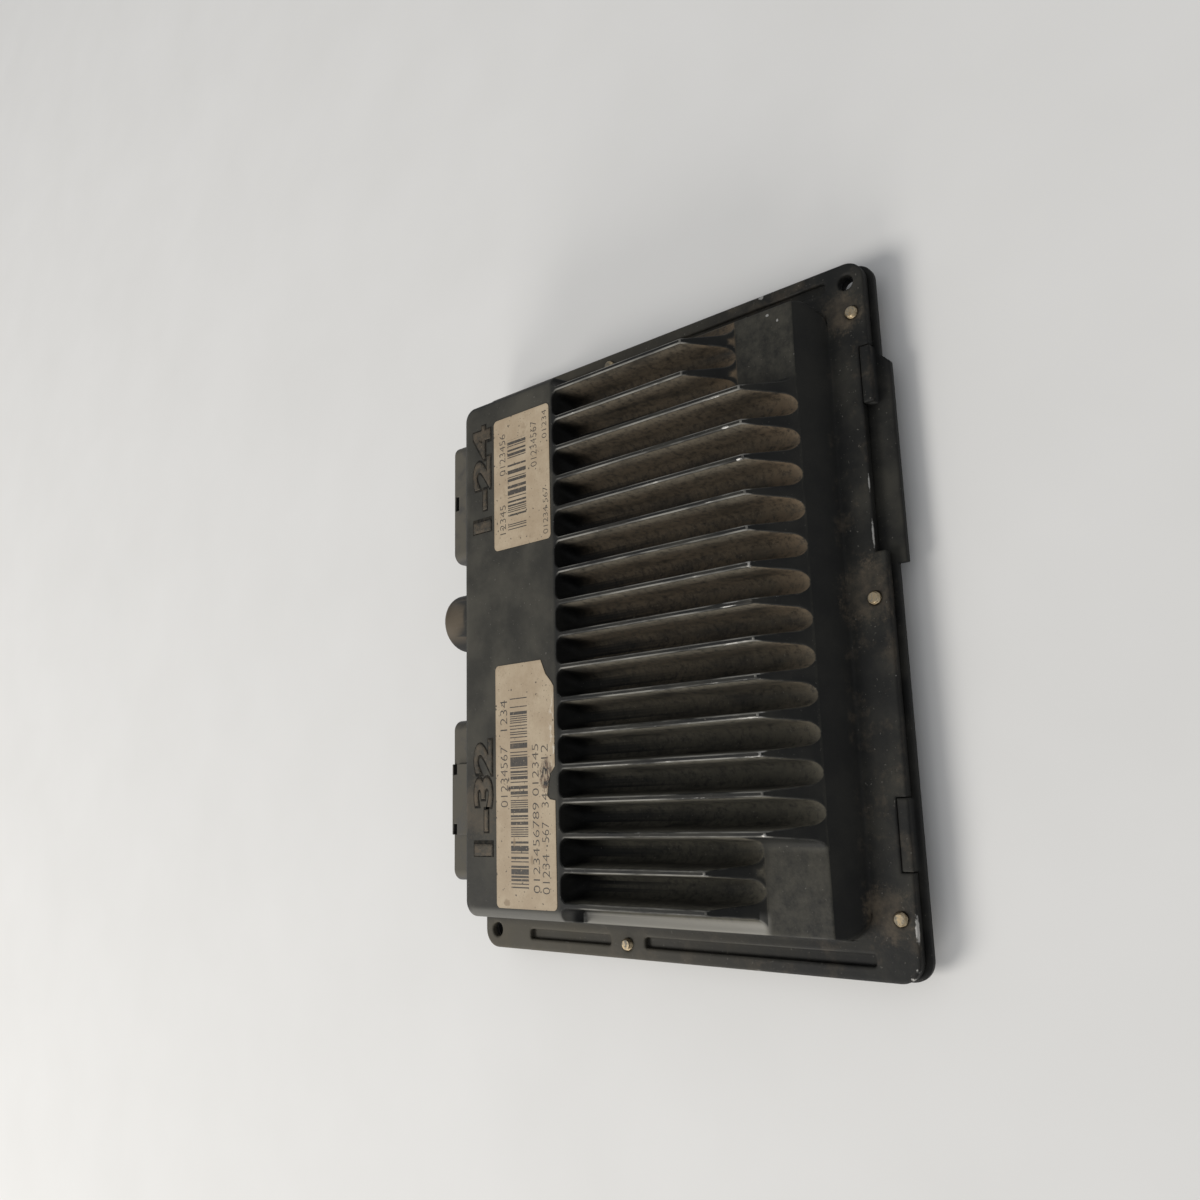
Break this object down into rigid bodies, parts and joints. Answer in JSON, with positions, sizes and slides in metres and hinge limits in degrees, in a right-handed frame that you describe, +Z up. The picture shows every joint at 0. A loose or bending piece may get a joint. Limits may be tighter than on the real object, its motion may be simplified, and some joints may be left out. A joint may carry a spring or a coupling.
{
  "type": "engine control unit",
  "caption": "Black finned die-cast control module on a flat drilled flange, with two harness headers and a bolt boss at one end, a screwed base cover and a circuit board inside.",
  "frame": {"origin": "middle of the flange's plan at the base cover's resting face", "axes": "+Z up through the fins, +Y out of the harness headers, +X towards the 24-way header"},
  "size_m": [0.19, 0.1541, 0.0315],
  "materials": {
    "cast_housing": "satin black paint on cast aluminium, dusty and worn",
    "cover_paint": "satin black paint on aluminium sheet, dusty",
    "sealant": "cured silicone",
    "zinc_screw": "yellowed zinc plate",
    "header_plastic": "glass-filled moulded plastic",
    "terminal_plating": "tin-plated brass",
    "board_laminate": "coated laminate",
    "chip_package": "moulded epoxy",
    "pad_silicone": "soft silicone",
    "can_sleeve": "sleeved aluminium can",
    "choke_winding": "enamelled copper wire",
    "crystal_can": "plated can",
    "network_coat": "dipped resin",
    "chip_ceramic": "fired ceramic",
    "sticker_film": "aged paper-white film, scuffed and torn"
  },
  "bodies": {
    "root": {"housing": "cast_housing", "base_cover": "cover_paint", "cover_gasket": "sealant", "cover_screws": "zinc_screw", "header_24_shell": "header_plastic", "header_32_shell": "header_plastic", "header_24_pins": "terminal_plating", "header_32_pins": "terminal_plating", "header_24_seal": "sealant", "header_32_seal": "sealant", "circuit_board": "board_laminate", "board_screws": "zinc_screw", "processor": "chip_package", "memory_chip": "chip_package", "driver_chips": "chip_package", "interface_chips": "chip_package", "thermal_pads": "pad_silicone", "power_transistors": "chip_package", "voltage_regulator": "chip_package", "suppressor_diode": "chip_package", "electrolytic_capacitors": "can_sleeve", "choke_coil": "choke_winding", "crystal": "crystal_can", "resistor_networks": "network_coat", "chip_resistors": "chip_ceramic", "chip_capacitors": "chip_ceramic", "label_upper": "sticker_film", "label_lower": "sticker_film"}
  },
  "joints": []
}
